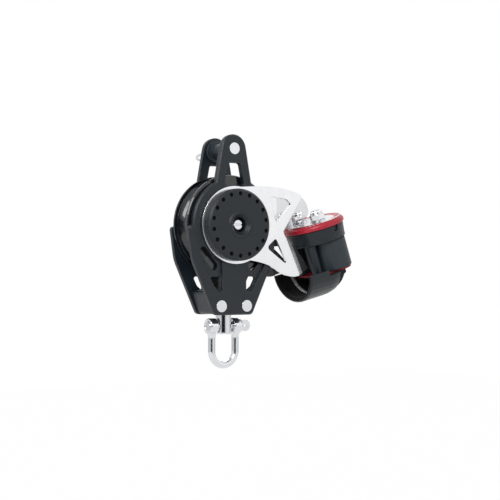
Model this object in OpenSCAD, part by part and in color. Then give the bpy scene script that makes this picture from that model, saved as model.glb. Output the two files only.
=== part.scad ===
// Ratchet sailing block with a becket, a swivel shackle and a cam cleat on a swinging arm.
// Millimetres. The origin is the sheave's centre, +Y runs along the sheave's axis,
// +X points to the cleat and +Z up to the becket.

/* [Sheave] */
// Radius of the sheave
sheave_r = 28.5; // [27.5:0.25:28.8]
// Width of the sheave
sheave_w = 16; // [15:0.25:16.2]
// Radius of the rope groove
groove_r = 6.4; // [5:0.2:6.8]
// Depth of the rope groove below the rim
groove_depth = 7; // [5:0.25:7.5]
// Number of grip ribs in the groove
grip_ribs = 12; // [6:2:16]
// Height of a grip rib
grip_h = 0.6; // [0.3:0.1:1]

/* [Bearing and ratchet] */
// Radius of the hub that the balls run on
core_r = 11; // [10.6:0.1:11.2]
// Diameter of a ball
ball_d = 4; // [3.6:0.1:4.1]
// Balls in each row
ball_count = 16; // [8:1:18]
// Teeth of the ratchet ring
tooth_count = 24; // [24:12:24]
// Outer radius of the ratchet ring
ratchet_r = 19; // [18.6:0.1:19.6]
// Depth of the ratchet ring's seat in the sheave
ratchet_depth = 3.8; // [3.6:0.1:4]

/* [Cheeks] */
// Clear width between the cheeks
cheek_gap = 17; // [16.6:0.2:18]
// Thickness of a cheek
cheek_t = 3.2; // [2.8:0.1:4]
// Height of the becket pin above the sheave's axis
head_z = 43.2; // [41:0.5:46]
// Radius of the cheek's head
head_r = 8.1; // [7.6:0.1:9]
// Half width of the cheek's shoulder
shoulder_half = 29; // [28.6:0.1:29.2]
// Depth of the cheek's foot below the sheave's axis
foot_z = 50.4; // [49.5:0.3:54]
// Half width of the cheek's foot
foot_half = 13.4; // [12.6:0.2:14.4]
// Half width of the raised column
column_half = 7.9; // [7.2:0.1:8.6]
// Depth of the pockets beside the column
pocket_depth = 1.4; // [0.8:0.1:1.8]
// Bevel along the cheek's edge
cheek_bevel = 0.8; // [0.3:0.1:1.2]

/* [Caps] */
// Radius of the dimpled cap
cap_r = 20.2; // [19.6:0.1:21]
// Height of the dimpled cap over its seat
cap_h = 4.3; // [3.6:0.1:5]
// Number of dimples
dimple_count = 18; // [12:1:24]
// Radius of a dimple
dimple_r = 1.25; // [0.8:0.05:1.4]
// Radius of the centre screw
screw_r = 2.65; // [2.3:0.05:3]

/* [Becket and rivets] */
// Radius of the becket pin
pin_r = 2.5; // [2.2:0.1:3]
// Radius of the heads of the pin and rivets
rivet_head_r = 3.3; // [3.1:0.1:3.6]
// Distance of the rivets from the middle
rivet_x = 8.35; // [7.9:0.05:8.8]
// Height of the rivets above the foot
rivet_up = 5; // [4.6:0.1:6]
// Radius of the becket bush
bush_r = 4.25; // [3.8:0.05:5]
// Radius of the split ring
ring_r = 5.5; // [5:0.25:7]

/* [Swivel and shackle] */
// Radius of the swivel post
post_r = 4.5; // [4:0.1:4.8]
// Distance of the shackle pin below the foot
shackle_drop = 6.6; // [6.2:0.2:9]
// Radius of the shackle's rod
rod_r = 2.1; // [1.8:0.1:2.3]
// Distance of the bow's legs from the middle
leg_x = 7.8; // [7.6:0.1:9]
// Length of the bow below its pin
bow_len = 22; // [19:0.5:30]

/* [Arm] */
// Thickness of the arm's plate
arm_t = 1.6; // [1.2:0.1:2]
// Radius of the arm's ring
arm_ring_r = 21.8; // [21.2:0.1:22.4]
// Radius of the hub that the arm turns on
spigot_r = 14; // [13:0.25:15]
// Angle of the lower wings
wing_bend = 25; // [18:1:30]
// Angle of the back gusset
gusset_bend = 15; // [13:1:20]

/* [Cleat] */
// Distance of the cleat from the sheave's axis
cleat_x = 63; // [62:0.5:70]
// Height of the cleat's shelf above the sheave's axis
cleat_z = 3.5; // [2:0.5:6]
// Angle of the cleat's shelf
cleat_tilt = 19; // [16:1:22]
// Half length of the rim across the rope
rim_long = 20.4; // [20:0.2:21]
// Half width of the rim along the rope
rim_short = 18.4; // [18:0.2:19]
// Distance of a cam's pivot from the rope
cam_y = 9.1; // [9:0.1:9.6]
// Height of a cam
cam_h = 17.5; // [15:0.5:19]
// Height of the cleat's base
base_h = 8.6; // [7:0.2:10]
// Radius of the cleat's bolts
bolt_r = 2.5; // [2:0.1:2.6]
// Distance of the scoop from the sheave's axis
scoop_x = 56.2; // [55.6:0.2:58]
// Angle of the scoop's rim
scoop_tilt = 14; // [12:1:16]
// Radius of the scoop's bowl
scoop_r = 19.4; // [18.6:0.2:20]
// Thickness of the scoop's wall
scoop_t = 1.8; // [1.4:0.1:2.4]

/* [Clearances] */
// Radial running clearance of turning fits
run = 0.06; // [0.03:0.01:0.09]
// Gap between faces that turn past each other
gap = 0.3; // [0.2:0.05:0.4]

/* [Hidden] */
$fn = 64;
arc_step = 9;
plastic = [0.2, 0.21, 0.22];
gloss_black = [0.1, 0.1, 0.11];
steel = [0.85, 0.86, 0.87];
red = [0.8, 0.16, 0.2];
half_gap = cheek_gap / 2;
cheek_out = half_gap + cheek_t;
arm_in = cheek_out + gap;
arm_out = arm_in + arm_t;
cap_in = arm_out + gap;
cap_out = cap_in + cap_h;
half_w = sheave_w / 2;
pin_z = -foot_z - shackle_drop;
rivet_z = rivet_up - foot_z;
rivet_cap = 0.9;
land_mid = -2;
land_half = 0.8;
ball_clear = 0.05;
ball_track = core_r + ball_d / 2 + ball_clear;
ball_bore = core_r + ball_d + 2 * ball_clear;
pawl_pivot = 13.2;
pawl_t = 1.6;
pawl_z = half_w - 3;
arm_fold = [[32.2, -3], [43.8, -28.2]];
steps = 10;

// Outlines: a list of circles [x, y, radius] in anticlockwise order stands for their common outline.
function touch(a, b) =
    let (d = [b[0] - a[0], b[1] - a[1]], u = d / norm(d), k = (a[2] - b[2]) / norm(d))
    k * u + sqrt(1 - k * k) * [u[1], -u[0]];
function arc(x, y, r, from, sweep) =
    let (n = max(1, ceil(sweep / arc_step)))
    [for (i = [0:n]) [x + r * cos(from + sweep * i / n), y + r * sin(from + sweep * i / n)]];
function outline(c, inset = 0) = [for (i = [0:len(c) - 1])
    let (n = len(c), m = touch(c[(i + n - 1) % n], c[i]), k = touch(c[i], c[(i + 1) % n]),
        from = atan2(m[1], m[0]), to = atan2(k[1], k[0]))
    each arc(c[i][0], c[i][1], c[i][2] - inset, from, (to - from + 720) % 360)];
function curve(a, b, c) = [for (i = [0:steps])
    let (t = i / steps) (1 - t) * (1 - t) * a + 2 * t * (1 - t) * b + t * t * c];
function oval(a, b) = [for (i = [0:arc_step:359]) [a * cos(i), b * sin(i)]];

module loft(low, high, h) {
    n = len(low);
    polyhedron(
        points = concat([for (p = low) [p[0], p[1], 0]], [for (p = high) [p[0], p[1], h]]),
        faces = concat([[for (i = [0:n - 1]) i]], [[for (i = [n - 1:-1:0]) n + i]],
            [for (i = [0:n - 1]) [i, n + i, n + (i + 1) % n, (i + 1) % n]]));
}

module bevelled(c, h, bevel) {
    linear_extrude(h - bevel) polygon(outline(c));
    translate([0, 0, h - bevel]) loft(outline(c), outline(c, bevel), bevel);
}

// Turns a solid drawn over the X, Y plane so that its Y becomes Z and its height points to the near side.
module near_side(h = 0) rotate([90, 0, 0]) translate([0, 0, h]) children();
module far_side(h = 0) mirror([0, 1, 0]) near_side(h) children();
module both_ways() {
    children();
    mirror([1, 0, 0]) children();
}
module on_cleat(h = 0)
    translate([cleat_x, 0, cleat_z]) rotate([0, -cleat_tilt, 0]) translate([0, 0, h]) children();

// Cheeks
shoulder_r = sheave_r - 2.1;
neck_z = 22;
head_list = [[0, head_z, head_r], [-4, neck_z, 8], [4, neck_z, 8]];
lobe_list = [[-shoulder_half + 2, -2.6, 2], [-8, -14, 19.2], [-foot_half + 3, 3 - foot_z, 3],
    [foot_half - 3, 3 - foot_z, 3], [8, -14, 19.2], [shoulder_half - 2, -2.6, 2]];
window_list = [[-2.6, 33.4, 1.8], [-4.4, 24, 1.9], [4.4, 24, 1.9], [2.6, 33.4, 1.8]];
pocket_list = [[column_half + 1.4, -20.5, 1.4], [column_half + 1.2, -36.2, 1.2], [11, -36.4, 1],
    [19, -21.6, 1.6], [17.6, -18, 1.6]];
slot_list = [[12.4, -23, 2.3], [20, -14.6, 2.3]];
port_list = [[column_half + 1.7, -30, 1.1], [column_half + 1.6, -35.2, 1], [11.6, -33.6, 1], [13.4, -30, 1.1]];

module cheek() {
    difference() {
        union() {
            bevelled(head_list, cheek_t, cheek_bevel);
            cylinder(h = cheek_t - cheek_bevel, r = shoulder_r);
            translate([0, 0, cheek_t - cheek_bevel]) cylinder(h = cheek_bevel, r1 = shoulder_r, r2 = shoulder_r - cheek_bevel);
            bevelled(lobe_list, cheek_t, cheek_bevel);
        }
        translate([0, 0, -1]) linear_extrude(cheek_t + 2) polygon(outline(window_list));
        both_ways() {
            translate([0, 0, cheek_t - pocket_depth]) linear_extrude(2 * pocket_depth) polygon(outline(pocket_list));
            translate([0, 0, -1]) linear_extrude(cheek_t + 2) polygon(outline(slot_list));
            translate([0, 0, -1]) linear_extrude(cheek_t + 2) polygon(outline(port_list));
            translate([rivet_x, rivet_z, 0]) headed_hole(rivet_r + run);
        }
        translate([0, head_z, 0]) headed_hole(pin_r + run);
        translate([0, 0, -1]) cylinder(h = cheek_t + 2, r = screw_r + run);
    }
}

module headed_hole(r) {
    translate([0, 0, -1]) cylinder(h = cheek_t + 2, r = r);
    translate([0, 0, cheek_t - rivet_cap]) cylinder(h = 2 * rivet_cap, r = rivet_head_r + 0.25);
}

module near_cheek() color(plastic) near_side(half_gap) cheek();
module far_cheek() color(plastic) far_side(half_gap) cheek();

// Bottom block, rivets and becket
socket_r = post_r + 1.1;
socket_z = 6;
block_list = [[-foot_half + 3.4, 3 - foot_z, 2.6], [foot_half - 3.4, 3 - foot_z, 2.6],
    [foot_half + 0.6, 12 - foot_z, 2], [-foot_half - 0.6, 12 - foot_z, 2]];

module bottom_block() color(plastic) difference() {
    near_side(-half_gap) linear_extrude(cheek_gap) polygon(outline(block_list));
    translate([0, 0, -foot_z - 1]) cylinder(h = 20, r = post_r + run);
    translate([0, 0, socket_z - foot_z]) cylinder(h = 20, r = socket_r + gap);
    both_ways() translate([rivet_x, 0, rivet_z]) near_side(-half_gap - 1) cylinder(h = cheek_gap + 2, r = rivet_r + run);
}

rivet_r = 1.6;
module rivet() {
    near_side(-cheek_out) cylinder(h = 2 * cheek_out, r = rivet_r);
    near_side(cheek_out - rivet_cap) cylinder(h = rivet_cap + 0.2, r = rivet_head_r);
    far_side(cheek_out - rivet_cap) cylinder(h = rivet_cap + 0.2, r = rivet_head_r);
}
module cheek_rivets() color(steel) both_ways() translate([rivet_x, 0, rivet_z]) rivet();

pin_tail = 6;
ring_wire = 0.42;
module becket_pin() color(steel) difference() {
    translate([0, 0, head_z]) {
        near_side(-cheek_out - pin_tail) cylinder(h = 2 * cheek_out + pin_tail, r = pin_r);
        near_side(cheek_out - rivet_cap) cylinder(h = rivet_cap + 0.3, r = rivet_head_r);
    }
    translate([-5, cheek_out + pin_tail / 2, head_z]) rotate([0, 90, 0]) cylinder(h = 10, r = 1.3);
}
module becket_bush() color(gloss_black) translate([0, 0, head_z]) near_side() difference() {
    union() {
        translate([0, 0, -half_gap]) cylinder(h = cheek_gap, r = bush_r);
        translate([0, 0, -half_gap]) cylinder(h = 1.2, r = bush_r + 2.2);
        translate([0, 0, half_gap - 0.8]) cylinder(h = 0.8, r = bush_r + 1);
    }
    translate([0, 0, -half_gap - 1]) cylinder(h = cheek_gap + 2, r = pin_r + run);
}
module split_ring() color(steel)
    translate([0, cheek_out + pin_tail / 2, head_z]) rotate([-16, 0, 0]) translate([0, ring_r, 0])
        rotate_extrude() for (s = [-1, 1]) translate([ring_r, s * 0.36]) circle(ring_wire, $fn = 24);

// Hub, caps and centre screw
module axle_core() color(steel) near_side(-half_gap) difference() {
    cylinder(h = cheek_gap, r = core_r);
    translate([0, 0, -1]) cylinder(h = cheek_gap + 2, r = screw_r + run);
}

hub_ring_r = 7;
well_r = 4.25;
well_z = cheek_out + 1.5;
module near_cap() color(plastic) near_side() difference() {
    rotate_extrude() polygon([[screw_r + run, cheek_out], [spigot_r, cheek_out], [spigot_r, cap_in],
        [cap_r, cap_in], [cap_r, cap_out - 1.3], [cap_r - 1.3, cap_out], [hub_ring_r + 0.8, cap_out],
        [hub_ring_r, cap_out + 0.8], [hub_ring_r - 0.9, cap_out + 0.8], [well_r, cap_out - 1.2],
        [well_r, well_z], [screw_r + run, well_z]]);
    for (i = [0:dimple_count - 1]) rotate(90 + i * 360 / dimple_count)
        translate([cap_r - 2.85, 0, cap_out - 1]) cylinder(h = 2, r = dimple_r);
}
far_cap_h = 3;
module far_cap() color(plastic) far_side() rotate_extrude() polygon([[screw_r + run, cheek_out],
    [spigot_r, cheek_out], [spigot_r, cap_in], [cap_r, cap_in], [cap_r, cap_in + far_cap_h - 1],
    [cap_r - 1, cap_in + far_cap_h], [9.4, cap_in + far_cap_h], [8.4, cap_in + far_cap_h - 1],
    [screw_r + run, cap_in + far_cap_h - 1]]);

nut_seat = cap_in + far_cap_h - 1;
nut_h = 3.2;
module centre_screw() color(steel) near_side() difference() {
    union() {
        translate([0, 0, -nut_seat - nut_h - 0.6]) cylinder(h = nut_seat + nut_h + 0.6 + cap_out - 2.6, r = screw_r);
        translate([0, 0, well_z]) cylinder(h = 1, r = well_r - 0.25);
    }
    translate([0, 0, cap_out - 2.6]) cube([2 * screw_r + 1, 0.8, 1.6], center = true);
}
module axle_nut() color(steel) far_side(nut_seat) difference() {
    cylinder(h = nut_h, r = 5.2, $fn = 6);
    translate([0, 0, -1]) cylinder(h = nut_h + 2, r = screw_r + run);
}

// Sheave, ratchet and balls
ring_floor = half_w - ratchet_depth;
groove_bottom = sheave_r - groove_depth;
grip_w = 1.2;
grip_len = 8;
module sheave() color(gloss_black) near_side() {
    union() {
        rotate_extrude($fn = 96) difference() {
            polygon([[ball_bore, -half_w], [sheave_r - 0.5, -half_w], [sheave_r, 0.5 - half_w],
                [sheave_r, half_w - 0.5], [sheave_r - 0.5, half_w], [ratchet_r, half_w],
                [ratchet_r, ring_floor], [ball_bore, ring_floor], [ball_bore, land_mid + land_half],
                [core_r + run, land_mid + land_half], [core_r + run, land_mid - land_half],
                [ball_bore, land_mid - land_half]]);
            translate([groove_bottom + groove_r, 0]) circle(groove_r);
            translate([sheave_r, 0]) square([4, 2 * groove_r], center = true);
        }
        for (i = [0:grip_ribs - 1]) rotate(i * 360 / grip_ribs) translate([groove_bottom, 0, 0])
            cube([2 * grip_h, grip_w, grip_len], center = true);
    }
}

tooth_root = ratchet_r - 1.2;
tooth_tip = tooth_root - 1.4;
tip_at = 65;
tooth_pitch = 360 / tooth_count;
function polar(r, a) = [r * cos(a), r * sin(a)];
module ratchet_ring() color(steel) near_side(ring_floor) linear_extrude(ratchet_depth - 0.4) difference() {
    circle(ratchet_r, $fn = 96);
    polygon([for (i = [0:tooth_count - 1]) let (a = tip_at + i * tooth_pitch)
        each [polar(tooth_tip, a - 7.4), polar(tooth_tip, a - 5), polar(tooth_root, a - 5),
            polar(tooth_root, a + 3.4)]]);
}
module bearing_balls() color(steel) near_side() for (z = [land_mid - land_half - ball_d / 2 - 0.4,
    land_mid + land_half + ball_d / 2 + 0.2], i = [0:ball_count - 1])
        rotate(i * 360 / ball_count) translate([ball_track, 0, z]) sphere(ball_d / 2, $fn = 24);

carrier_z = half_gap - 0.9;
module pawl_carrier() color(steel) near_side() difference() {
    union() {
        translate([0, 0, carrier_z]) cylinder(h = half_gap - carrier_z, r = tooth_tip - 0.7);
        for (a = [0, 180]) rotate(a) translate([0, pawl_pivot, pawl_z - 0.4])
            cylinder(h = carrier_z - pawl_z + 0.5, r = 1);
    }
    translate([0, 0, carrier_z - 1]) cylinder(h = 4, r = core_r + 0.02);
}
pawl_heel_r = 1.75;
pawl_nose = [7.1, pawl_pivot + 1.9, 0.55];
module pawl() color(steel) near_side(pawl_z) linear_extrude(pawl_t) difference() {
    polygon(outline([[0, pawl_pivot, pawl_heel_r], pawl_nose]));
    translate([0, pawl_pivot]) circle(1 + run);
}
module pawl_a() pawl();
module pawl_b() rotate([0, 180, 0]) pawl();
module pawl_springs() color(steel) near_side(pawl_z + pawl_t + 0.35) for (a = [0, 180]) rotate(a)
    translate([0, pawl_pivot, 0]) rotate_extrude() translate([1.35, 0]) circle(0.25, $fn = 16);

// Swivel post and shackle
post_low = pin_z - post_r;
module swivel_post() color(steel) difference() {
    union() {
        translate([0, 0, post_low + 0.8]) cylinder(h = socket_z - foot_z - post_low, r = post_r);
        translate([0, 0, post_low]) cylinder(h = 0.8, r1 = post_r - 0.8, r2 = post_r);
        translate([0, 0, socket_z - foot_z + 0.05]) cylinder(h = 3, r = socket_r);
    }
    translate([-post_r - 1, 0, pin_z]) rotate([0, 90, 0]) cylinder(h = 2 * post_r + 2, r = shackle_pin_r + run);
}
shackle_pin_r = 2.4;
ear_r = 4.6;
ear_in = post_r + 0.7;
ear_out = leg_x + 2.8;
bow_z = pin_z - bow_len + leg_x;
module shackle_bow() color(steel) difference() {
    union() {
        both_ways() {
            translate([ear_in, 0, pin_z]) rotate([0, 90, 0]) cylinder(h = ear_out - ear_in, r = ear_r);
            translate([leg_x, 0, bow_z]) cylinder(h = pin_z - bow_z, r = rod_r);
        }
        translate([0, 0, bow_z]) rotate([90, 0, 0]) rotate([0, 0, 180])
            rotate_extrude(angle = 180) translate([leg_x, 0]) circle(rod_r, $fn = 48);
    }
    translate([-ear_out - 1, 0, pin_z]) rotate([0, 90, 0]) cylinder(h = 2 * ear_out + 2, r = shackle_pin_r + 0.02);
}
tab_len = 6.4;
tab_t = 2.2;
module shackle_pin() color(steel) translate([0, 0, pin_z]) {
    translate([-ear_out, 0, 0]) rotate([0, 90, 0]) cylinder(h = 2 * ear_out + 0.4, r = shackle_pin_r);
    difference() {
        translate([ear_out + 0.4, 0, 0]) rotate([90, 0, 0]) translate([0, 0, -tab_t / 2])
            linear_extrude(tab_t) polygon(outline([[tab_len - 3.3, 0, 3.3], [1, 1.6, 1], [1, -1.6, 1]]));
        translate([ear_out + 0.4 + tab_len - 3, 5, 0]) rotate([90, 0, 0]) cylinder(h = 10, r = 1.2);
    }
}

// Arm: two side plates from one folded sheet, with lower wings, a bridge, a shelf and a back gusset.
upper_hole = [[24, 16.2, 0.8], [27.4, 3.2, 0.7], [36, 13, 1.2], [34.2, 15, 1]];
lower_hole = [[23.6, -12.2, 1.8], [33.4, -20.2, 0.8], [26.7, -8.6, 1.1]];
lower_edge = concat(curve([6, -19.4], [19, -20.4], [27, -24.6]), curve([27.2, -24.7], [36, -30.6], arm_fold[1]));
top_start = [0, arm_ring_r - 0.6];
near_edge = concat([[0, 0]], lower_edge, [arm_fold[0], [45, 16.6]], curve([44.4, 18.8], [31, 24.8], top_start));
gusset_x = 45;
far_edge = concat([[0, 0]], lower_edge, [arm_fold[0], [gusset_x, 1.2]], curve([gusset_x, 22.4], [26, 24.2], top_start));

module side_plate(edge) linear_extrude(arm_t) difference() {
    union() {
        circle(arm_ring_r, $fn = 96);
        polygon(edge);
    }
    circle(spigot_r + run);
    polygon(outline(lower_hole));
    difference() {
        polygon(outline(upper_hole));
        circle(arm_ring_r + 2.4);
    }
}

// A flap is bent out of its plate at half the plate's thickness, with a round bend that stops short of both ends.
bend_r = arm_t / 2 + 0.06;
bend_relief = 0.5;
module flap(base, angle, from, to, bend) translate([base[0], base[1], arm_t / 2]) rotate([0, 0, angle]) {
    rotate([bend, 0, 0]) translate([0, 0, -arm_t / 2]) linear_extrude(arm_t) children();
    translate([from + bend_relief, 0, 0]) rotate([0, 90, 0]) cylinder(h = to - from - 2 * bend_relief, r = bend_r);
}

fold_dir = arm_fold[1] - arm_fold[0];
fold_len = norm(fold_dir);
fold_angle = atan2(fold_dir[1], fold_dir[0]);
wing_w = 11;
module wing() near_side(arm_in) flap(arm_fold[0], fold_angle, 3, fold_len - 0.3, -wing_bend)
    polygon(concat([[3, 0], [fold_len - 0.3, 0]], curve([fold_len, wing_w], [fold_len - 9, wing_w * 0.9], [3.4, 0.9])));

bridge_inset = 0.6;
module bridge() near_side(-arm_in - bridge_inset) linear_extrude(2 * (arm_in + bridge_inset)) polygon([
    arm_fold[0] + [-bridge_inset, 0], arm_fold[0] + [-bridge_inset - arm_t, 0],
    arm_fold[0] + fold_dir * 0.32 + [-bridge_inset - arm_t, 0], arm_fold[0] + fold_dir * 0.32 + [-bridge_inset, 0]]);

gusset_len = 33;
module gusset() far_side(arm_in) flap([gusset_x, 1.2], 90, 0, 21, -gusset_bend)
    polygon(concat([[0, 0], [-1.8, -4]], [[6.4, 4 - gusset_len]],
        curve([10.8, 2 - gusset_len], [21.6, 4 - gusset_len], [21.4, -12]), [[21, 0]]));

shelf_t = 1.6;
rim_t = 2.4;
module cam_arm() color(steel) difference() {
    union() {
        near_side(arm_in) side_plate(near_edge);
        far_side(arm_in) side_plate(far_edge);
        wing();
        mirror([0, 1, 0]) wing();
        bridge();
        difference() {
            gusset();
            on_cleat(-20) linear_extrude(20 + gap) polygon(oval(rim_short + 3, rim_long + 3));
        }
        on_cleat() linear_extrude(shelf_t) polygon(oval(rim_short - 1.6, rim_long - 1.6));
    }
    for (s = [-1, 1]) on_cleat(-1) translate([cam_u, s * cam_y, 0]) cylinder(h = 4, r = bolt_r + 0.1);
}

// Cleat, from the red rim plate down to the scoop
cam_u = -1.8;
base_top = -rim_t;
cam_top = base_top - base_h - gap;
cam_low = cam_top - cam_h;
cover_t = 0.9;
plate_low = cam_low - gap - cover_t;
bush_cam_r = 3.4;
module bolt_holes(h, r) for (s = [-1, 1]) translate([cam_u, s * cam_y, h]) cylinder(h = 60, r = r);
module rim_plate() color(red) on_cleat(-rim_t) difference() {
    union() {
        linear_extrude(rim_t - 0.6) polygon(oval(rim_short, rim_long));
        translate([0, 0, rim_t - 0.6]) loft(oval(rim_short, rim_long), oval(rim_short - 0.5, rim_long - 0.5), 0.6);
    }
    bolt_holes(-1, bolt_r + 0.1);
}
pillar = [-9.5, -1.5, 3.4];
module cleat_base() color(plastic) difference() {
    on_cleat(base_top - base_h) union() {
        linear_extrude(2.4) polygon(oval(rim_short - 1.4, rim_long - 1.6));
        translate([0, 0, 2.4]) loft(oval(rim_short - 1.4, rim_long - 1.6), oval(rim_short - 0.8, rim_long - 0.8), base_h - 2.4);
        for (s = [-1, 1]) translate([cam_u + pillar[0], s * (cam_y + pillar[1]), -cam_h - 2 * gap])
            cylinder(h = cam_h + 3 * gap, r = pillar[2]);
    }
    on_cleat() bolt_holes(base_top - base_h - 1, bolt_r + 0.1);
    on_cleat(base_top - 1.6) translate([2, 1 - rim_long, 0]) cube([3, 4, 4], center = true);
}

cam_lobe = [5.2, 0.2];
cam_lobe_r = 8.5;
cam_boss_r = 5.8;
cam_back = [2, 1.4, 6.8];
tooth_rows = 9;
module cam_2d() difference() {
    polygon(outline([[0, 0, cam_boss_r], [cam_lobe[0], cam_lobe[1], cam_lobe_r], cam_back]));
    for (i = [0:tooth_rows - 1]) translate(cam_lobe) rotate(-128 + i * 11) translate([cam_lobe_r, 0])
        rotate(45) square(1, center = true);
    circle(bush_cam_r + run);
}
module cam_body() difference() {
    linear_extrude(cam_h) cam_2d();
    translate([0, 0, cam_h - 2.4]) cylinder(h = 4, r = bush_cam_r + 1.9);
}
module cam_far() color(plastic) on_cleat(cam_low) translate([cam_u, cam_y, 0]) cam_body();
module cam_near() color(plastic) on_cleat(cam_low) mirror([0, 1, 0]) translate([cam_u, cam_y, 0]) cam_body();
module cam_bushes() color(steel) on_cleat(cam_low - gap) for (s = [-1, 1]) translate([cam_u, s * cam_y, 0])
    difference() {
        cylinder(h = cam_h + 2 * gap, r = bush_cam_r);
        translate([0, 0, -1]) cylinder(h = cam_h + 4, r = bolt_r + 0.1);
    }
module cam_springs() color(steel) on_cleat(cam_low + cam_h - 1.8) for (s = [-1, 1])
    translate([cam_u, s * cam_y, 0]) rotate_extrude() for (k = [0:2])
        translate([bush_cam_r + 0.75, 0.35 + 0.6 * k]) circle(0.35, $fn = 16);
cover_list = [[cam_u - 9.5, -7.6, 3.1], [cam_u + 5.2, -cam_y, 7.8], [cam_u + 5.2, cam_y, 7.8], [cam_u - 9.5, 7.6, 3.1]];
module cam_plate() color(red) on_cleat(plate_low) linear_extrude(cover_t) difference() {
    polygon(outline(cover_list));
    for (s = [-1, 1]) translate([cam_u, s * cam_y]) circle(bolt_r + 0.1);
}

// Fasteners of the cleat
bolt_low = plate_low - 2.4;
bolt_head_r = 4.4;
washer_t = 0.8;
nut_af = 8;
cleat_nut_h = 5.2;
module cleat_bolts() color(steel) on_cleat() for (s = [-1, 1]) translate([cam_u, s * cam_y, 0]) {
    translate([0, 0, bolt_low]) cylinder(h = shelf_t + washer_t + cleat_nut_h + 0.6 - bolt_low, r = bolt_r);
    translate([0, 0, bolt_low - 1.6]) cylinder(h = 1.6, r = bolt_head_r);
}
module washers() color(steel) on_cleat(shelf_t) for (s = [-1, 1]) translate([cam_u, s * cam_y, 0]) difference() {
    cylinder(h = washer_t, r = nut_af / 2 + 0.7);
    translate([0, 0, -1]) cylinder(h = washer_t + 2, r = bolt_r + 0.1);
}
module locknuts() color(steel) on_cleat(shelf_t + washer_t) for (s = [-1, 1]) translate([cam_u, s * cam_y, 0])
    difference() {
        union() {
            cylinder(h = cleat_nut_h - 1.6, r = nut_af / sqrt(3), $fn = 6);
            translate([0, 0, cleat_nut_h - 1.6]) cylinder(h = 1.6, r = nut_af / 2 - 0.2);
        }
        translate([0, 0, -1]) cylinder(h = cleat_nut_h + 2, r = bolt_r + 0.05);
    }

// Scoop fairlead under the cams and its wear strip
scoop_half = 7.8;
scoop_z = -26.4;
scoop_depth = 16.4;
deck_t = 3;
bowl_lift = 0.01;
mouth_u = -9;
mouth_x = 8.4;
strip_x = 2.2;
strip_w = 2;
strip_t = 0.8;
deck_list = [[cam_u - 9.5, -7.6, 3], [cam_u + 2, -cam_y, 6.6], [cam_u + 2, cam_y, 6.6], [cam_u - 9.5, 7.6, 3]];
module on_scoop() translate([scoop_x, 0, scoop_z]) rotate([0, -scoop_tilt, 0]) children();
module bowl(r, depth) {
    profile = concat([[0, 0], [r, 0]], [for (i = [1:8]) [r * cos(i * 11.25), -depth * sin(i * 11.25)]]);
    for (s = [-1, 1]) translate([s * scoop_half, 0, 0]) rotate_extrude() polygon(profile);
    rotate([90, 0, 90]) translate([0, 0, -scoop_half]) linear_extrude(2 * scoop_half) union() {
        polygon(profile);
        mirror([1, 0]) polygon(profile);
    }
}
module fairlead() color(plastic) difference() {
    union() {
        on_scoop() bowl(scoop_r, scoop_depth);
        on_cleat(plate_low - deck_t) linear_extrude(deck_t) polygon(outline(deck_list));
    }
    on_cleat(plate_low) translate([mouth_u - 2, -40, 0]) cube([80, 80, 40]);
    on_scoop() translate([-mouth_x - 40, -40, -40]) cube([40, 80, 60]);
    difference() {
        on_scoop() translate([0, 0, bowl_lift]) bowl(scoop_r - scoop_t, scoop_depth - scoop_t);
        on_cleat(plate_low - deck_t) translate([mouth_u, -40, 0]) cube([80, 80, 40]);
    }
    on_cleat() bolt_holes(plate_low - 10, bolt_r + 0.1);
    on_cleat() for (s = [-1, 1]) translate([cam_u, s * cam_y, plate_low - deck_t - 1])
        cylinder(h = 1 + deck_t + bolt_low - plate_low, r = bolt_head_r + 0.2);
}
module wear_strip() color(steel) on_scoop() intersection() {
    difference() {
        translate([0, 0, bowl_lift]) bowl(scoop_r - scoop_t, scoop_depth - scoop_t);
        translate([0, 0, 2 * bowl_lift]) bowl(scoop_r - scoop_t - strip_t, scoop_depth - scoop_t - strip_t);
    }
    translate([strip_x, -scoop_r, -30]) cube([strip_w, 2 * scoop_r, 27]);
}

near_cheek();
far_cheek();
bottom_block();
cheek_rivets();
becket_pin();
becket_bush();
split_ring();
axle_core();
pawl_carrier();
near_cap();
far_cap();
centre_screw();
axle_nut();
sheave();
ratchet_ring();
bearing_balls();
pawl_a();
pawl_b();
pawl_springs();
swivel_post();
shackle_bow();
shackle_pin();
cam_arm();
rim_plate();
cleat_base();
cam_near();
cam_far();
cam_bushes();
cam_springs();
cam_plate();
cleat_bolts();
locknuts();
washers();
fairlead();
wear_strip();
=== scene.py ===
# %% [markdown]
# # A ratchet block with a cam cleat, dressed for its picture
# The block leads a rope round a sheave between two moulded cheeks. A swivel shackle hangs
# below, and a folded steel arm carries two spring cams that grip the rope's tail.
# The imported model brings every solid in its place, in metres: +X runs to the cleat, +Y runs
# along the axle away from the camera, and +Z points up. This lesson adds what a solid model
# lacks: finishes, soft edges, threads, mould marks, light and a camera.

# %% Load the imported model
from math import atan2, cos, pi, radians, sin
import bmesh
import bpy
from mathutils import Matrix, Vector


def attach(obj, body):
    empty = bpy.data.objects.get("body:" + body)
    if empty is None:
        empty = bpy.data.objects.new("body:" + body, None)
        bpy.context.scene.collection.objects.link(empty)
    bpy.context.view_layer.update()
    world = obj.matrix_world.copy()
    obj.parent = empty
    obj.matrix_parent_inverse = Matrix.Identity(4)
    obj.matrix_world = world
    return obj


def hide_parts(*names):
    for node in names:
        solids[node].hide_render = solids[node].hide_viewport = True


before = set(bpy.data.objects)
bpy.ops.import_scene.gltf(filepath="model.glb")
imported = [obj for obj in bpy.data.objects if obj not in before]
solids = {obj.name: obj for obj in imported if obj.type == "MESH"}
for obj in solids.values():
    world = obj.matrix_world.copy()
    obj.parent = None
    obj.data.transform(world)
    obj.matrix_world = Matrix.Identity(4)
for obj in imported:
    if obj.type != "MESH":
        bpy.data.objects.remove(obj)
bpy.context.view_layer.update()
MM = 0.001

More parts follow.
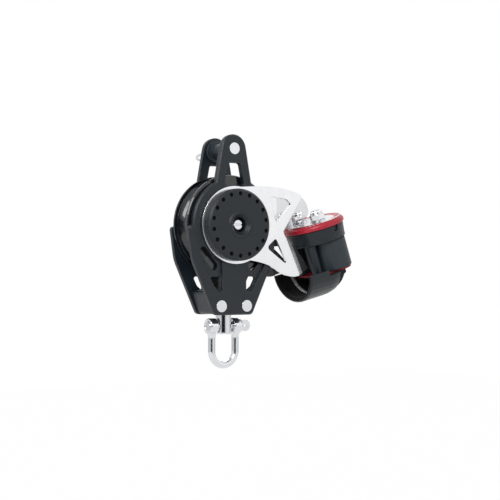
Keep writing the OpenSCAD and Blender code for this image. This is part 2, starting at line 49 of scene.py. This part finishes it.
# %% [markdown]
# ## Shader maths as Python
# A finish is a small sum: a base value plus some noise, times a mask. Blender writes that sum as
# a web of nodes. One class stands for a socket, so that the sum can be read as one line, and one
# method makes any other node. Colours go through Mix nodes, because a Math node turns them grey.

# %% A socket with arithmetic
class Socket:
    """An output socket. Sums on it add Math nodes, and add() makes any other node."""

    def __init__(self, tree, output=None):
        self.tree = tree
        self.output = output

    def add(self, kind, settings=None, sockets=None, out=0):
        node = self.tree.nodes.new(kind)
        for name, value in (settings or {}).items():
            if name == "stops":
                ramp = node.color_ramp.elements
                while len(ramp) < len(value):
                    ramp.new(0.5)
                for stop, (position, colour) in zip(ramp, value):
                    stop.position = position
                    stop.color = colour if len(colour) == 4 else (*colour, 1)
            else:
                setattr(node, name, value)
        for name, value in (sockets or {}).items():
            if isinstance(value, Socket):
                self.tree.links.new(value.output, node.inputs[name])
            else:
                node.inputs[name].default_value = value
        return Socket(self.tree, node.outputs[out])

    def math(self, operation, *values):
        return self.add("ShaderNodeMath", {"operation": operation}, dict(enumerate(values)))

    def __add__(self, other):
        return self.math("ADD", self, other)

    def __sub__(self, other):
        return self.math("SUBTRACT", self, other)

    def __rsub__(self, other):
        return self.math("SUBTRACT", other, self)

    def __mul__(self, other):
        return self.math("MULTIPLY", self, other)

    def __truediv__(self, other):
        return self.math("DIVIDE", self, other)

    def __pow__(self, other):
        return self.math("POWER", self, other)

    __radd__ = __add__
    __rmul__ = __mul__

    def clip(self):
        return self.math("MINIMUM", self.math("MAXIMUM", self, 0.0), 1.0)

    def blend(self, low, high):
        """The colour low where this socket is 0 and high where it is 1."""
        low, high = [c if isinstance(c, Socket) else (*c, 1) for c in (low, high)]
        return self.add("ShaderNodeMix", {"data_type": "RGBA"}, {0: self, 6: low, 7: high}, out=2)


print("socket sums ready")

# %% [markdown]
# ## One place for what all finishes share
# Each finish starts the same way: a Principled shader, the object's own coordinates in metres,
# and noise measured in millimetres. Real edges are never razor sharp, and a highlight along a
# rounded edge is what makes a moulded or machined part look solid. A bevel of the mesh would
# do it, but on cut solids it leaves folds at small corners, so the Bevel node bends the
# normals within a given radius instead. The same node gives a mask of the edges for wear.

# %% A finish with soft edges
class Finish:
    """A material under construction: its shader, its noises and its edges."""

    def __init__(self, name, edge=0.4, **numbers):
        self.material = bpy.data.materials.new(name)
        self.material.use_nodes = True
        tree = self.material.node_tree
        self.shader = tree.nodes["Principled BSDF"]
        self.tools = Socket(tree)
        self.place = self.tools.add("ShaderNodeTexCoord", out=3)
        self.soft = self.tools.add("ShaderNodeBevel", {"samples": 6}, {"Radius": edge * MM})
        for socket, value in numbers.items():
            self.shader.inputs[socket.replace("_", " ")].default_value = value

    def noise(self, size, detail=2.0, stretch=(1, 1, 1), roughness=0.5):
        """Noise with features of about this size in millimetres, longer along a stretched axis."""
        scaled = self.tools.add("ShaderNodeMapping", {"vector_type": "POINT"},
                                {"Vector": self.place, "Scale": [1 / s for s in stretch]})
        return self.tools.add("ShaderNodeTexNoise", None, {
            "Vector": scaled, "Scale": 1 / (size * MM), "Detail": detail, "Roughness": roughness})

    def specks(self, size, low, high):
        """A mask of soft-edged patches: noise cut between two levels."""
        return ((self.noise(size, 4) - low) / (high - low)).clip()

    def edges(self, radius, strength):
        """1 along the outer edges of the piece and 0 on its faces."""
        round_normal = self.tools.add("ShaderNodeBevel", {"samples": 6}, {"Radius": radius * MM})
        flat = self.tools.add("ShaderNodeNewGeometry", out=1)
        same = self.tools.add("ShaderNodeVectorMath", {"operation": "DOT_PRODUCT"},
                              {0: round_normal, 1: flat}, out=1)
        return ((1 - same) * strength).clip()

    def bump(self, height, depth, under=None):
        """Lifts the surface by a height from 0 to 1, times a depth in millimetres."""
        return self.tools.add("ShaderNodeBump", None, {
            "Strength": 1.0, "Distance": depth * MM, "Height": height, "Normal": under or self.soft})

    def set(self, **sockets):
        for name, value in sockets.items():
            self.material.node_tree.links.new(value.output, self.shader.inputs[name.replace("_", " ")])
        return self.material


print("finish helper ready")

# %% [markdown]
# ## Black composite
# The cheeks, caps, cams and scoop are moulded from a glass-filled black nylon. Close up it is a
# cool dark grey rather than black, its gloss comes and goes in soft patches where the fibres come
# near the skin, and handling rubs the edges paler. A fine grain from the mould breaks the
# reflections. Two noises do that: a large one for the gloss and a small one for the grain.

# %% Black composite
def composite(name, colour, roughness, grain, worn, painted_shade_and_matt=None):
    f = Finish(name, edge=0.55, IOR=1.46)
    patches = f.noise(9, 3)
    fine = f.noise(0.7, 3, roughness=0.7)
    rub = f.edges(0.7, 5) * f.specks(2.2, 0.42, 0.62)
    tone = (patches * 0.5 + fine * 1.6 - 0.85).clip()
    base = tone.blend(colour, [c * 1.5 for c in colour])
    shade = (rub * worn).blend(base, (0.16, 0.165, 0.17))
    rough = (patches * 0.14 + fine * 0.16 + (roughness - 0.15)).clip()
    # The optional mask paints shade into hollows: the colour goes nearly black there, and the surface grows rougher.
    if painted_shade_and_matt:
        shade_and_matt = painted_shade_and_matt(f)
        shade = shade_and_matt.blend(shade, (0.003, 0.003, 0.0035))
        rough = (shade_and_matt * 0.6 + rough).clip()
    return f.set(Base_Color=shade, Roughness=rough, Normal=f.bump(fine + patches * 0.4, grain))


SCOOP, SCOOP_TILT, SCOOP_R, SCOOP_DEPTH, SCOOP_WALL = Vector((56.2, 0, -26.4)), radians(14), 19.4, 16.4, 1.8
scoop_frame = Matrix.Translation(SCOOP) @ Matrix.Rotation(-SCOOP_TILT, 4, "Y")


def along(f, direction, origin):
    """How far a point lies from an origin in millimetres, along a direction."""
    from_origin = f.tools.add("ShaderNodeVectorMath", {"operation": "SUBTRACT"}, {0: f.place, 1: origin * MM})
    return f.tools.add("ShaderNodeVectorMath", {"operation": "DOT_PRODUCT"},
                       {0: from_origin, 1: direction / MM}, out=1)


def inside_the_scoop(f):
    """1 on the scoop's inner wall: painted shade darkens it, and it is rougher where the rope and the salt have taken
    the gloss.
    """
    across = along(f, Vector((0, 1, 0)), SCOOP) / (SCOOP_R - SCOOP_WALL + 0.5)
    down = along(f, scoop_frame.to_3x3() @ Vector((0, 0, 1)), SCOOP) / (SCOOP_DEPTH - SCOOP_WALL + 0.5)
    reach = across * across + down * down
    return ((1.06 - reach) * 14.0).clip()


def in_the_dimples(f):
    """1 in the ring of dimples of the near cap, which are painted darker as shade."""
    parts = f.tools.add("ShaderNodeSeparateXYZ", None, {0: f.place}).output.node.outputs
    x, y, z = [Socket(f.tools.tree, parts[axis]) / MM for axis in "XYZ"]
    out = f.tools.math("SQRT", x * x + z * z)
    ring = ((1.5 - f.tools.math("ABSOLUTE", out - DIMPLE_RING)) * 20.0).clip()
    return ring * ((y + (CAP_FACE - 0.15)) * 12.0).clip() * ((-16.5 - y) * 12.0).clip()


DIMPLE_RING, CAP_FACE = 17.35, 18.2
black_composite = composite("black_composite", (0.010, 0.017, 0.0235), 0.38, 0.09, 0.5)
cap_composite = composite("cap_composite", (0.010, 0.0165, 0.021), 0.46, 0.09, 0.3, in_the_dimples)
cam_composite = composite("cam_composite", (0.026, 0.037, 0.046), 0.42, 0.05, 0.6)
scoop_composite = composite("scoop_composite", (0.011, 0.0165, 0.021), 0.34, 0.03, 0.5, inside_the_scoop)
print("composites:", black_composite.name, cap_composite.name, cam_composite.name, scoop_composite.name)

# %% [markdown]
# ## Gloss black
# The sheave is moulded in a denser, shinier black and the rope polishes it further. It keeps fine
# rings round the axle from the mould's turned surface, so its noise is stretched round the axle:
# the distance from the axle is the only thing that it reads.

# %% Gloss black
def gloss(name):
    f = Finish(name, edge=0.5, IOR=1.5, Coat_Roughness=0.05)
    parts = f.tools.add("ShaderNodeSeparateXYZ", None, {0: f.place})
    across = f.tools.add("ShaderNodeCombineXYZ", None, {"X": parts, "Y": 0.0, "Z": Socket(
        parts.tree, parts.output.node.outputs[2])})
    reach = f.tools.add("ShaderNodeVectorMath", {"operation": "LENGTH"}, {0: across}, out=1)
    rings = f.tools.add("ShaderNodeTexNoise", {"noise_dimensions": "1D"}, {
        "W": reach, "Scale": 1 / (0.35 * MM), "Detail": 2.0})
    scuffs = f.specks(3.5, 0.5, 0.75)
    base = scuffs.blend((0.004, 0.0065, 0.009), (0.011, 0.015, 0.019))
    return f.set(Base_Color=base, Roughness=scuffs * 0.18 + 0.14, Coat_Weight=0.7 - scuffs * 0.4,
                 Normal=f.bump(rings, 0.006))


gloss_black = gloss("gloss_black")
print("gloss:", gloss_black.name)

# %% [markdown]
# ## Stainless steel
# Rivets, screw, nuts and shackle are polished stainless: nearly a mirror, with faint smears, hair
# scratches and a softer look where the polish has dulled. The arm is sheet steel, polished after
# folding, so it carries fine straight marks and reads almost white beside the black parts.

# %% Stainless steel
def steel(name, colour, roughness, scratch, stretch, washer_and_painted_shade=None, dark=(0.06, 0.063, 0.068)):
    f = Finish(name, edge=0.3, Metallic=1.0)
    smear = f.noise(6, 3)
    hair = f.noise(0.12, 2, stretch)
    dull = f.specks(1.6, 0.55, 0.8)
    base = (smear * 0.8 + dull * 0.3).clip().blend(colour, [c * 0.9 for c in colour])
    rough = (smear * 0.08 + dull * 0.1 + hair * 0.05 + roughness).clip()
    # This mask paints the dark colour: on the screw a black washer's ring, on the arm painted shade between the
    # plates.
    if washer_and_painted_shade:
        washer_and_shade_mask = washer_and_painted_shade(f)
        base = washer_and_shade_mask.blend(base, dark)
        rough = (washer_and_shade_mask * 0.35 + rough).clip()
    return f.set(Base_Color=base, Roughness=rough, Normal=f.bump(hair, scratch))


def round_the_screw(f):
    """A black washer's ring round the head of the centre screw."""
    parts = f.tools.add("ShaderNodeSeparateXYZ", None, {0: f.place}).output.node.outputs
    x, y, z = [Socket(f.tools.tree, parts[axis]) / MM for axis in "XYZ"]
    return ((f.tools.math("SQRT", x * x + z * z) - 2.6) * 8.0).clip() * ((-12.0 - y) * 4.0).clip()


def between_the_plates(f):
    """1 on the arm's inner faces below the shelf, painted dark as shade between the plates."""
    aside = f.tools.math("ABSOLUTE", along(f, Vector((0, 1, 0)), Vector((0, 0, 0))))
    low = along(f, Vector((0, 0, 1)), Vector((0, 0, -3.5)))
    return ((12.1 - aside) * 8.0).clip() * (low * -0.4).clip()


stainless = steel("stainless", (0.8, 0.812, 0.835), 0.03, 0.001, (6, 1, 1))
polished_plate = steel("polished_plate", (0.91, 0.915, 0.93), 0.16, 0.002, (14, 14, 1), between_the_plates)
strip_steel = steel("strip_steel", (0.85, 0.86, 0.88), 0.4, 0.002, (1, 14, 14))
screw_steel = steel("screw_steel", (0.8, 0.812, 0.835), 0.05, 0.001, (6, 1, 1), round_the_screw, (0.02, 0.022, 0.024))
spring_steel = steel("spring_steel", (0.5, 0.5, 0.51), 0.22, 0.002, (1, 1, 1))
print("steels:", stainless.name, polished_plate.name, spring_steel.name)

# %% [markdown]
# ## Red rim and white balls
# The cleat's rim and the plate under its cams are a red moulding with a smooth skin. The colour
# is deep, so a little variation and a worn, paler edge keep it from looking like paint on screen.
# The plate under the cams takes a deeper red, painted as the shade the cams cast on it.
# The bearing balls are a matt white polymer, hardly seen, but there.

# %% Red and white polymers
def moulded(name, colour, worn_colour, roughness):
    f = Finish(name, edge=0.4, IOR=1.5)
    drift = f.noise(7, 2)
    rub = f.edges(0.5, 5) * f.specks(1.8, 0.4, 0.65)
    base = drift.blend([c * 0.85 for c in colour], colour)
    return f.set(Base_Color=(rub * 0.5).blend(base, worn_colour), Roughness=drift * 0.12 + roughness,
                 Normal=f.bump(f.noise(0.5, 2), 0.01))


# A deeper red copy for the plate under the cams: painted shade from the cams above it.
red_painted_shade = moulded("red_painted_shade", (0.32, 0.008, 0.02), (0.4, 0.06, 0.06), 0.35)
red_polymer = moulded("red_polymer", (0.62, 0.02, 0.045), (0.7, 0.16, 0.17), 0.22)
ball_polymer = moulded("ball_polymer", (0.75, 0.74, 0.7), (0.8, 0.8, 0.78), 0.35)
print("polymers:", red_polymer.name, ball_polymer.name)

# %% Which solid takes which finish
wardrobe = {
    black_composite: ["near_cheek", "far_cheek", "bottom_block", "cleat_base"],
    scoop_composite: ["fairlead"],
    cap_composite: ["near_cap", "far_cap"],
    cam_composite: ["cam_near", "cam_far", "becket_bush"],
    gloss_black: ["sheave"],
    screw_steel: ["centre_screw"],
    stainless: ["cheek_rivets", "becket_pin", "split_ring", "axle_nut", "swivel_post",
                "shackle_bow", "shackle_pin", "cleat_bolts", "locknuts", "washers"],
    spring_steel: ["axle_core", "pawl_carrier", "ratchet_ring", "pawl_a", "pawl_b", "pawl_springs",
                   "cam_springs", "cam_bushes"],
    polished_plate: ["cam_arm"],
    strip_steel: ["wear_strip"],
    red_polymer: ["rim_plate"],
    red_painted_shade: ["cam_plate"],
    ball_polymer: ["bearing_balls"],
}
for finish, names in wardrobe.items():
    for name in names:
        solids[name].data.materials.clear()
        solids[name].data.materials.append(finish)
left_out = set(solids) - {n for names in wardrobe.values() for n in names}
print("solids without a finish:", sorted(left_out))

# %% [markdown]
# ## Moulded and forged skins
# A moulding has no sharp corner: the tool's edges are rounded, and a forging's even more so. A
# bevel modifier trips over the small faces of a cut solid. A voxel remesh doesn't mind them: it
# wraps the solid in an even skin of small squares, and a few smoothing passes then round every
# edge by about a voxel. The piece rides where its solid rides and stands for it.

# %% A skin over a solid
def closed_mesh(name, points, faces):
    made = bpy.data.meshes.new(name)
    made.from_pydata([Vector(p) * MM for p in points], [], faces)
    piece = bpy.data.objects.new(name, made)
    bpy.context.scene.collection.objects.link(piece)
    return piece


def joined(name, pieces):
    """One object out of several, each taken with its own place."""
    whole = bmesh.new()
    for piece in pieces:
        part = piece.data.copy()
        part.transform(piece.matrix_world)
        whole.from_mesh(part)
        bpy.data.meshes.remove(part)
    made = bpy.data.meshes.new(name)
    whole.to_mesh(made)
    whole.free()
    piece = bpy.data.objects.new(name, made)
    bpy.context.scene.collection.objects.link(piece)
    return piece


def skin(piece, voxel, passes):
    """Wraps a piece in squares of this size in millimetres, and smooths it."""
    wrap = piece.modifiers.new("wrap", "REMESH")
    wrap.mode, wrap.voxel_size, wrap.use_smooth_shade = "VOXEL", voxel * MM, True
    ease = piece.modifiers.new("ease", "SMOOTH")
    ease.factor, ease.iterations = 0.5, passes
    baked = bpy.data.meshes.new_from_object(piece.evaluated_get(bpy.context.evaluated_depsgraph_get()))
    piece.modifiers.clear()
    piece.data = baked
    baked.polygons.foreach_set("use_smooth", [True] * len(baked.polygons))
    return piece


def dress(piece, finish, slot, body, *nodes):
    """Gives a piece its finish and its body, and lets it stand for the solids it copies."""
    piece.data.materials.clear()
    piece.data.materials.append(finish)
    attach(piece, body)
    if nodes:
        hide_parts(*nodes)
    print(piece.name, len(piece.data.polygons), "faces")
    return piece


print("skins ready")

# %% [markdown]
# ## The forged shackle
# The shackle is bent from round bar, and its ends are forged into eyes for the pin. A rod of even
# width with discs stuck on it looks like a toy: on the real one the rod swells into the eyes. So
# the rod's radius grows towards its ends, the eyes are turned rings with rounded edges, and one
# skin melts them together.

# %% Shackle
def tube(name, path, radii, sides=24, side_way=Vector((0, 1, 0))):
    """A closed rod along a path that lies square to side_way, with its own radius at each point."""
    points, faces = [], []
    for k, (centre, radius) in enumerate(zip(path, radii)):
        ahead = (path[min(k + 1, len(path) - 1)] - path[max(k - 1, 0)]).normalized()
        out = ahead.cross(side_way)
        points += [centre + radius * (out * cos(2 * pi * i / sides) + side_way * sin(2 * pi * i / sides))
                   for i in range(sides)]
    for k in range(len(path) - 1):
        faces += [(k * sides + i, k * sides + (i + 1) % sides, (k + 1) * sides + (i + 1) % sides, (k + 1) * sides + i)
                  for i in range(sides)]
    faces += [tuple(range(sides - 1, -1, -1)), tuple((len(path) - 1) * sides + i for i in range(sides))]
    return closed_mesh(name, points, faces)


def turned(name, profile, place, sides=96):
    """A ring turned about place's Z axis from a closed profile of (radius, height) in millimetres."""
    points = [place @ Vector((r * cos(2 * pi * i / sides), r * sin(2 * pi * i / sides), h))
              for i in range(sides) for r, h in profile]
    n = len(profile)
    faces = [(i * n + k, i * n + (k + 1) % n, ((i + 1) % sides) * n + (k + 1) % n, ((i + 1) % sides) * n + k)
             for i in range(sides) for k in range(n)]
    return closed_mesh(name, points, faces)


PIN_Z, LEG_X, BOW_Z, ROD = -57.0, 7.8, -71.2, 2.1
bow_path = [Vector((-LEG_X, 0, PIN_Z - 1 - k * 1.1)) for k in range(12)]
bow_path += [Vector((-LEG_X * cos(a), 0, BOW_Z - LEG_X * sin(a))) for a in [pi * k / 32 for k in range(33)]]
bow_path += [Vector((-p.x, 0, p.z)) for p in reversed(bow_path[:12])]
bow_radii = [ROD + 0.5 * min(1, max(0, 1 - (PIN_Z - 4 - p.z) / 3)) ** 2 for p in bow_path]
eye_profile = [(2.46, 1.1), (3.3, 0), (3.9, 0), (4.35, 0.3), (4.58, 0.9), (4.58, 4.5), (4.35, 5.1), (3.9, 5.4),
               (3.3, 5.4), (2.46, 4.3)]
eyes = [turned("eye", eye_profile, Matrix.Translation((x, 0, PIN_Z)) @ Matrix.Rotation(pi / 2, 4, "Y"))
        for x in (-10.6, 5.2)]
shackle_parts = [tube("rod", bow_path, bow_radii)] + eyes
shackle = skin(joined("shackle_forging", shackle_parts), 0.22, 6)
for part in shackle_parts:
    bpy.data.objects.remove(part)
dress(shackle, stainless, "stainless", "shackle", "shackle_bow")

# %% [markdown]
# ## Lock nuts
# A nut is more than a hexagon: a chamfer turns each corner into a curved edge, and a lock nut has
# a round collar that holds a nylon ring. The outline is a sum of two limits, the hexagon and the
# chamfer's cone, and the smaller one wins at each angle. That draws the curved corners by itself.

# %% Nuts and bolt ends
TILT, CLEAT = radians(19), Vector((63, 0, 3.5))
cleat_frame = Matrix.Translation(CLEAT) @ Matrix.Rotation(-TILT, 4, "Y")


def lathed_hex(name, flats, rings, place, sides=96):
    """Rings of (limit radius, height, is_hex) round place's Z axis; a ring with is_hex is cut off by a hexagon, and
    the last ring joins the first.
    """
    points, faces = [], []
    for limit, height, is_hex in rings:
        for i in range(sides):
            a = 2 * pi * i / sides
            corner = flats / 2 / cos((a % (pi / 3)) - pi / 6)
            reach = min(limit, corner) if is_hex else limit
            points.append(place @ Vector((reach * cos(a), reach * sin(a), height)))
    n = len(rings)
    for k in range(n):
        j = (k + 1) % n
        faces += [(k * sides + i, k * sides + (i + 1) % sides, j * sides + (i + 1) % sides, j * sides + i)
                  for i in range(sides)]
    return closed_mesh(name, points, faces)


NUT_W, CAM_U, CAM_Y = 2.4, -1.8, 9.1
nut_rings = [(2.55, 0, False), (3.9, 0, False), (4.62, 0.4, True), (4.62, 3.0, True), (3.95, 3.55, True),
             (3.75, 3.6, False), (3.72, 4.7, False), (3.5, 5.05, False), (3.1, 5.2, False), (2.85, 5.15, False),
             (2.55, 4.9, False)]
nuts = [lathed_hex("nut", 8, nut_rings, cleat_frame @ Matrix.Translation((CAM_U, side * CAM_Y, NUT_W))
                   @ Matrix.Rotation(radians(turn), 4, "Z")) for side, turn in ((-1, 8), (1, 21))]
nut_pair = joined("lock_nuts", nuts)
for nut in nuts:
    bpy.data.objects.remove(nut)
dress(nut_pair, stainless, "stainless", "arm", "locknuts")

# %% [markdown]
# ## The red rim
# The rim is a bezel: it grips the edge of the steel shelf and stands a little proud of it, wide on
# the side that the rope leaves by and narrow against the arm. It is drawn as a ring between two
# ovals, so that its section can change all the way round, and its skin softens the corners.

# %% Rim
RIM_SHORT, RIM_LONG, RIM_LOW, RIM_TOP, SHELF_TOP = 18.4, 20.4, -2.4, 1.75, 1.55
WINDOW_U, WINDOW_SHORT, WINDOW_LONG = -2.6, 14.4, 17.8


def oval_ring(name, sections, place, sides=160):
    """A ring through sections of (middle, short half, long half, height), each an oval."""
    points = [place @ Vector((middle + short * cos(2 * pi * i / sides), long * sin(2 * pi * i / sides), height))
              for middle, short, long, height in sections for i in range(sides)]
    n = len(sections)
    faces = [(k * sides + i, k * sides + (i + 1) % sides, (k + 1) % n * sides + (i + 1) % sides,
              (k + 1) % n * sides + i) for k in range(n) for i in range(sides)]
    return closed_mesh(name, points, faces)


bezel = oval_ring("bezel", [
    (0, RIM_SHORT - 3, RIM_LONG - 3, RIM_LOW), (0, RIM_SHORT - 0.4, RIM_LONG - 0.4, RIM_LOW),
    (0, RIM_SHORT, RIM_LONG, RIM_LOW + 0.4), (0, RIM_SHORT, RIM_LONG, -0.6),
    (0, RIM_SHORT - 0.4, RIM_LONG - 0.4, 0.1), (0, RIM_SHORT - 1.9, RIM_LONG - 1.9, RIM_TOP - 0.2),
    (0, RIM_SHORT - 2.3, RIM_LONG - 2.3, RIM_TOP),
    (WINDOW_U, WINDOW_SHORT + 0.3, WINDOW_LONG + 0.3, RIM_TOP), (WINDOW_U, WINDOW_SHORT, WINDOW_LONG, RIM_TOP - 0.3),
    (WINDOW_U, WINDOW_SHORT, WINDOW_LONG, SHELF_TOP - 0.6)], cleat_frame)
dress(skin(bezel, 0.25, 3), red_polymer, "red_polymer", "arm", "rim_plate")

# %% [markdown]
# ## Soft skins for the mouldings
# The scoop, the cams and the cleat's base are where the light rolls over rounded black edges.
# Each gets a skin from its own solid. The scoop's mouth also has a rolled lip, which saves the
# rope from a thin edge: a half ring swept along the mouth and melted into the wall.

# %% Skins of the mouldings
def solid_copy(name):
    piece = bpy.data.objects.new(name + "_copy", solids[name].data.copy())
    bpy.context.scene.collection.objects.link(piece)
    return piece


MOUTH_X, LIP = -8.4, 1.6
lip_turns = [pi * (k + 0.5) / 48 for k in range(48)]
lip_path = [scoop_frame @ Vector((MOUTH_X + 0.8, (SCOOP_R - LIP) * cos(a), -(SCOOP_DEPTH - LIP) * sin(a)))
            for a in lip_turns]
lip_radii = [LIP * (0.7 + 0.3 * sin(a)) for a in lip_turns]
extras = {"fairlead": [tube("lip", lip_path, lip_radii, 20, scoop_frame.to_3x3() @ Vector((1, 0, 0)))]}
for name, finish, body, voxel, passes in (
        ("cam_near", cam_composite, "cam_near", 0.28, 4), ("cam_far", cam_composite, "cam_far", 0.28, 4),
        ("cleat_base", black_composite, "arm", 0.32, 3), ("fairlead", scoop_composite, "arm", 0.32, 5),
        ("bottom_block", black_composite, "block", 0.35, 3)):
    parts = [solid_copy(name)] + extras.get(name, [])
    piece = skin(joined(name + "_moulding", parts), voxel, passes)
    for part in parts:
        bpy.data.objects.remove(part)
    dress(piece, finish, "black_composite", body, name)

# %% [markdown]
# ## The stage
# The picture has a plain white ground and no shadow within its frame. The floor lies well below
# the block, so the shadow falls outside the picture. The world is white for what the camera sees
# and for reflections, and much dimmer as a light, so that white doesn't wash the black parts out.

# %% Floor and world
HEADING = 33.2
floor = bpy.data.objects.new("floor", bpy.data.meshes.new("floor"))
floor.data.from_pydata([(-1, -1, -0.2), (1, -1, -0.2), (1, 1, -0.2), (-1, 1, -0.2)], [], [(0, 1, 2, 3)])
bpy.context.scene.collection.objects.link(floor)
paper = bpy.data.materials.new("paper")
paper.use_nodes = True
paper_tools = Socket(paper.node_tree)
paper_shader = paper.node_tree.nodes["Principled BSDF"]
paper_shader.inputs["Base Color"].default_value = (0.85, 0.85, 0.85, 1)
paper_shader.inputs["Roughness"].default_value = 0.9
RAYS_THAT_SEE = ("Is Camera Ray", "Is Glossy Ray", "Is Transmission Ray")


def sight(tools):
    """1 for the camera's own rays, a little less for those that metal and glass send on."""
    rays = tools.add("ShaderNodeLightPath").output.node.outputs
    camera, glossy, glass = [Socket(tools.tree, rays[name]) for name in RAYS_THAT_SEE]
    return camera, (camera + (glossy + glass) * 0.8).clip()


white = paper_tools.add("ShaderNodeEmission", None, {"Color": (1, 1, 1, 1), "Strength": 1.0})
mixed = paper_tools.add("ShaderNodeMixShader", None, {
    0: sight(paper_tools)[1] * 0.985, 1: Socket(paper.node_tree, paper_shader.outputs[0]), 2: white})
paper.node_tree.links.new(mixed.output, paper.node_tree.nodes["Material Output"].inputs["Surface"])
floor.data.materials.append(paper)

world = bpy.data.worlds.new("studio")
bpy.context.scene.world = world
world.use_nodes = True
sky = Socket(world.node_tree)
camera_ray, mirrored = sight(sky)
toward = sky.add("ShaderNodeTexCoord", out=0)
behind = sky.add("ShaderNodeVectorMath", {"operation": "DOT_PRODUCT"},
                 {0: toward, 1: (-sin(radians(HEADING)), -cos(radians(HEADING)), 0)}, out=1)
height = sky.add("ShaderNodeSeparateXYZ", None, {0: toward}, out=2)
dark_card = ((behind - 0.87) * 18.0).clip() * ((0.3 - sky.math("ABSOLUTE", height + 0.08)) * 14.0).clip()
tall = (height * 2.2 + 0.85).clip()
studio = dark_card.blend(tall.blend((0.2, 0.2, 0.205), (1, 1, 1)), (0.01, 0.012, 0.015))
level = mirrored * 0.72 + 0.28
background = world.node_tree.nodes["Background"]
shown = camera_ray.blend(studio, (1, 1, 1))
world.node_tree.links.new(shown.output, background.inputs["Color"])
world.node_tree.links.new(level.output, background.inputs["Strength"])
bpy.context.scene.view_settings.view_transform = "Standard"
print("stage set")

# %% [markdown]
# ## Lamps
# Three large soft boxes, as a catalogue picture uses: the key from the upper left in front, a
# fill from the right and a strip from above and behind that draws the rims. Each is aimed at
# the middle of the block.

# %% Soft boxes
def soft_box(name, place, size, power):
    lamp = bpy.data.lights.new(name, "AREA")
    lamp.shape, lamp.size, lamp.size_y, lamp.energy = "RECTANGLE", size[0], size[1], power
    box = bpy.data.objects.new(name, lamp)
    box.location = place
    box.rotation_euler = (Vector((0.02, 0, -0.01)) - Vector(place)).to_track_quat("-Z", "Y").to_euler()
    bpy.context.scene.collection.objects.link(box)
    return box


soft_box("key", (-0.9, -0.75, 0.75), (0.7, 0.7), 9)
soft_box("fill", (0.75, -1.1, 0.15), (1.2, 1.2), 0.9)
soft_box("strip", (0.35, 0.7, 0.95), (1.0, 0.3), 5)
print("three soft boxes")

# %% [markdown]
# ## Camera
# The picture is taken from the front left, level with the block's foot and tipped up a little,
# with a short telephoto lens. The camera's axes follow from its heading and pitch, and the
# distance from how large a cheek of known size appears.

# %% Camera
PITCH, DISTANCE, LENS = 1.7, 0.571, 72.0
forward = Vector((sin(radians(HEADING)) * cos(radians(PITCH)), cos(radians(HEADING)) * cos(radians(PITCH)),
                  sin(radians(PITCH))))
right = Vector((cos(radians(HEADING)), -sin(radians(HEADING)), 0))
up = right.cross(forward)
lens = bpy.data.cameras.new("lens")
lens.lens, lens.sensor_width = LENS, 36.0
eye = bpy.data.objects.new("eye", lens)
eye.matrix_world = Matrix((right, up, -forward)).transposed().to_4x4()
eye.location = -DISTANCE * (forward - 0.0265 * right + 0.024 * up)
bpy.context.scene.collection.objects.link(eye)
bpy.context.scene.camera = eye
print("camera at", [round(c, 4) for c in eye.location])
